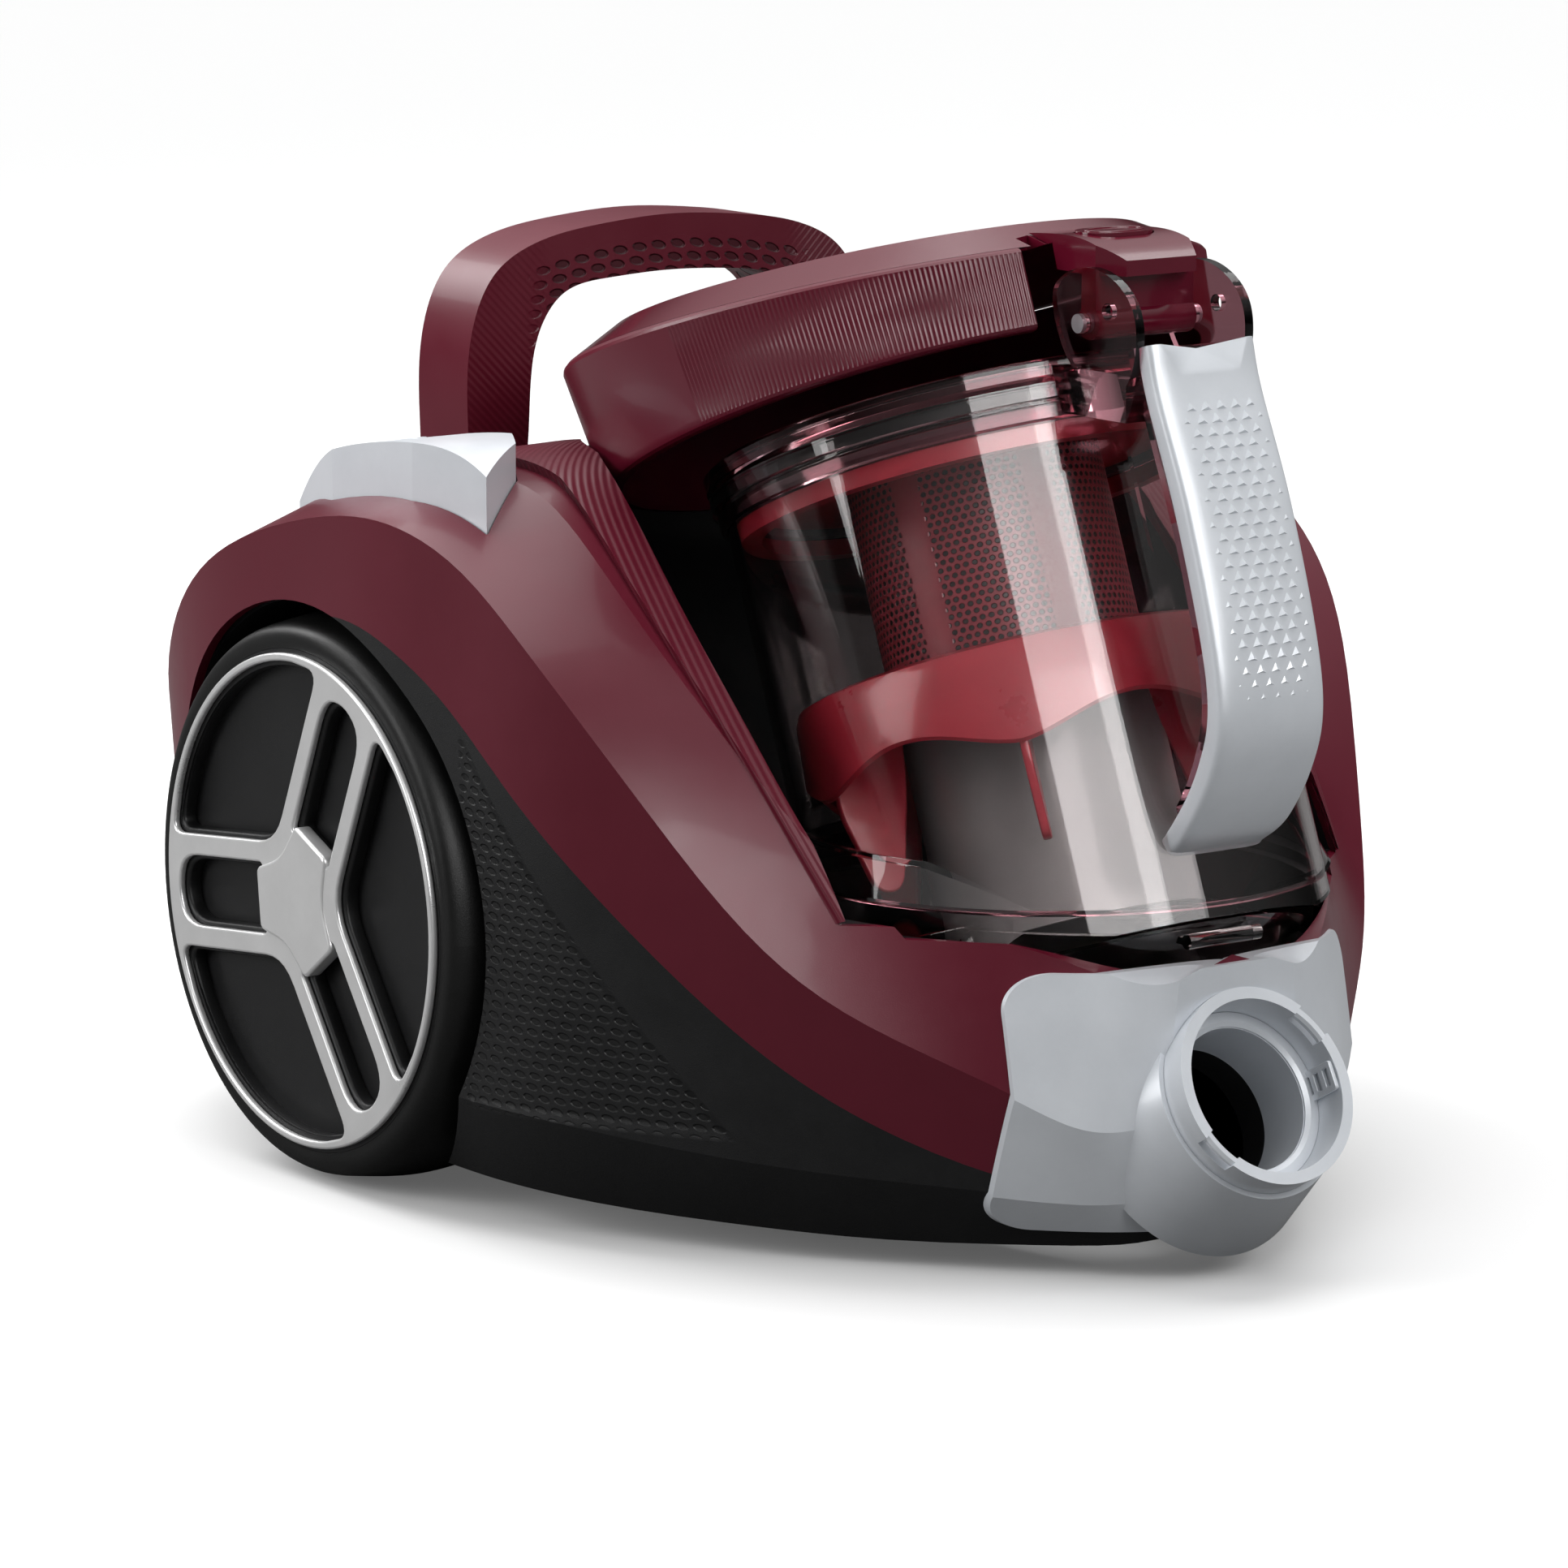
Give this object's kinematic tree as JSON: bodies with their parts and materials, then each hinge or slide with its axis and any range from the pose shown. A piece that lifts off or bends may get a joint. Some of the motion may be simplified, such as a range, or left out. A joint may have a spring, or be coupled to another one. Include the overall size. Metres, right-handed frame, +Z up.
{
  "type": "canister vacuum cleaner",
  "caption": "Compact bagless canister vacuum cleaner with large spoked rear wheels, tilted clear dust container, hinged lid, grip and upturned hose socket.",
  "frame": {"origin": "on the floor, under the middle of the cleaner's length and width", "axes": "+X forwards to the hose socket, +Y to the cleaner's left, +Z up"},
  "size_m": [0.4, 0.288, 0.2709],
  "materials": {
    "burgundy": "satin",
    "black_plastic": "fine grain",
    "wheel_black": "satin",
    "tyre_rubber": "satin",
    "castor_rubber": "matte",
    "silver": "satin silver paint on plastic",
    "steel": "turned",
    "clear": "smoky clear",
    "red_clear": "dark red, translucent",
    "red_plastic": "gloss",
    "mesh": "perforated",
    "grey_plastic": "satin",
    "filter_foam": "pleated"
  },
  "bodies": {
    "body": {"axle_boss_left": "black_plastic", "axle_boss_right": "black_plastic", "base_tray": "black_plastic", "bay_liner": "black_plastic", "carry_handle": "burgundy", "castor_socket": "black_plastic", "circuit_board": "black_plastic", "cord_gland": "black_plastic", "exhaust_filter": "filter_foam", "exhaust_grille": "black_plastic", "front_panel": "silver", "hose_socket": "silver", "motor_can": "black_plastic", "motor_rubber": "castor_rubber", "motor_stator": "steel", "reel_spindle": "steel", "side_trim_left": "burgundy", "side_trim_right": "burgundy", "stub_axle_left": "steel", "stub_axle_right": "steel", "suction_duct": "black_plastic", "upper_shell": "burgundy", "wheel_liner_left": "black_plastic", "wheel_liner_right": "black_plastic"},
    "wheel_right": {"tyre_right": "tyre_rubber", "wheel_disc_right": "wheel_black", "wheel_trim_right": "silver", "hub_cap_right": "silver"},
    "wheel_left": {"tyre_left": "tyre_rubber", "wheel_disc_left": "wheel_black", "wheel_trim_left": "silver", "hub_cap_left": "silver"},
    "castor": {"castor_fork": "black_plastic", "castor_pin": "steel", "castor_clip": "steel"},
    "castor_roller": {"castor_wheel": "castor_rubber"},
    "rotor": {"motor_rotor": "steel", "fan_impeller": "black_plastic"},
    "reel": {"reel_drum": "black_plastic"},
    "power_pedal": {"power_pedal": "silver"},
    "rewind_pedal": {"rewind_pedal": "silver"},
    "container": {"dust_cup": "clear", "cup_seal": "castor_rubber", "mesh_filter": "mesh", "separator_plate": "red_plastic", "separator_skirt": "red_plastic", "centre_tube": "grey_plastic", "grip_cover": "silver", "grip_spine": "red_clear", "hinge_pin": "steel"},
    "lid": {"lid_band": "burgundy", "lid_crown": "burgundy", "lid_nose": "burgundy"},
    "lid_button": {"lid_button": "burgundy"}
  },
  "joints": [
    {"name": "right_wheel_turn", "type": "hinge", "parent": "body", "child": "wheel_right", "pos_m": [-0.057, 0, 0.079], "axis": [0, 1, 0], "continuous": true},
    {"name": "left_wheel_turn", "type": "hinge", "parent": "body", "child": "wheel_left", "pos_m": [-0.057, 0, 0.079], "axis": [0, 1, 0], "continuous": true},
    {"name": "castor_swivel", "type": "hinge", "parent": "body", "child": "castor", "pos_m": [0.084, 0, 0.03], "axis": [0, 0, 1], "continuous": true},
    {"name": "castor_roll", "type": "hinge", "parent": "castor", "child": "castor_roller", "pos_m": [0.078, 0, 0.015], "axis": [0, 1, 0], "continuous": true},
    {"name": "rotor_spin", "type": "hinge", "parent": "body", "child": "rotor", "pos_m": [-0.104, 0.03, 0.088], "axis": [0, 1, 0], "continuous": true},
    {"name": "reel_spin", "type": "hinge", "parent": "body", "child": "reel", "pos_m": [-0.104, -0.046, 0.088], "axis": [0, 1, 0], "continuous": true},
    {"name": "power_press", "type": "slide", "parent": "body", "child": "power_pedal", "axis": [0, 0, -1], "range_m": [0, 0.0035], "stiffness_N_per_m": 1500, "springref_m": -0.002},
    {"name": "rewind_press", "type": "slide", "parent": "body", "child": "rewind_pedal", "axis": [0, 0, -1], "range_m": [0, 0.0035], "stiffness_N_per_m": 1500, "springref_m": -0.002},
    {"name": "container_tip", "type": "hinge", "parent": "body", "child": "container", "pos_m": [0.168, 0, 0.09], "axis": [0, 1, 0], "range_deg": [0, 35]},
    {"name": "lid_open", "type": "hinge", "parent": "container", "child": "lid", "pos_m": [0.131, 0, 0.248], "axis": [0, 1, 0], "range_deg": [0, 45]},
    {"name": "lid_button_press", "type": "slide", "parent": "lid", "child": "lid_button", "axis": [0, 0, -1], "range_m": [0, 0.002], "stiffness_N_per_m": 900, "springref_m": -0.001}
  ]
}
